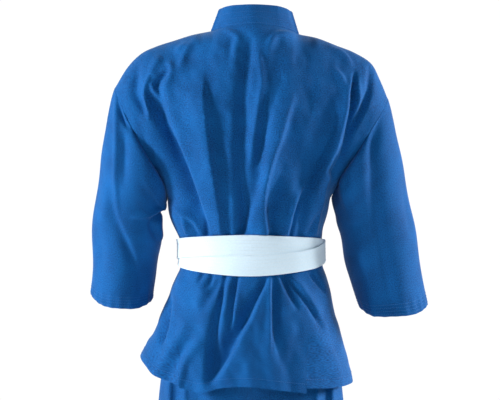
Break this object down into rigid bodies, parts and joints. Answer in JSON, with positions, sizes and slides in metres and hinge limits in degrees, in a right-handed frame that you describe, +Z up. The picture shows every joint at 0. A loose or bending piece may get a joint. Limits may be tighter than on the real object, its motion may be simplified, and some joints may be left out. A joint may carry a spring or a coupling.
{
  "type": "karate uniform",
  "caption": "Karate uniform worn on no one: crossed jacket with wide sleeves, knotted belt round the waist and loose trousers, hollow throughout.",
  "frame": {"origin": "base of the neck, midway between the shoulders that carry the jacket", "axes": "+Z up, +X the wearer's left, +Y the wearer's back"},
  "size_m": [0.5592, 0.2489, 1.1513],
  "materials": {
    "blue_cloth": "plain woven polyester and cotton with a soft sheen",
    "white_belt": "stitched cotton webbing"
  },
  "bodies": {
    "root": {"back": "blue_cloth", "front_left": "blue_cloth", "front_right": "blue_cloth", "lapel_left": "blue_cloth", "lapel_right": "blue_cloth", "collar": "blue_cloth", "sleeve_left": "blue_cloth", "sleeve_right": "blue_cloth", "trouser_back_left": "blue_cloth", "trouser_back_right": "blue_cloth", "trouser_front_left": "blue_cloth", "trouser_front_right": "blue_cloth", "waistband": "blue_cloth", "belt": "white_belt", "belt_knot": "white_belt", "belt_end_left": "white_belt", "belt_end_right": "white_belt"}
  },
  "joints": []
}
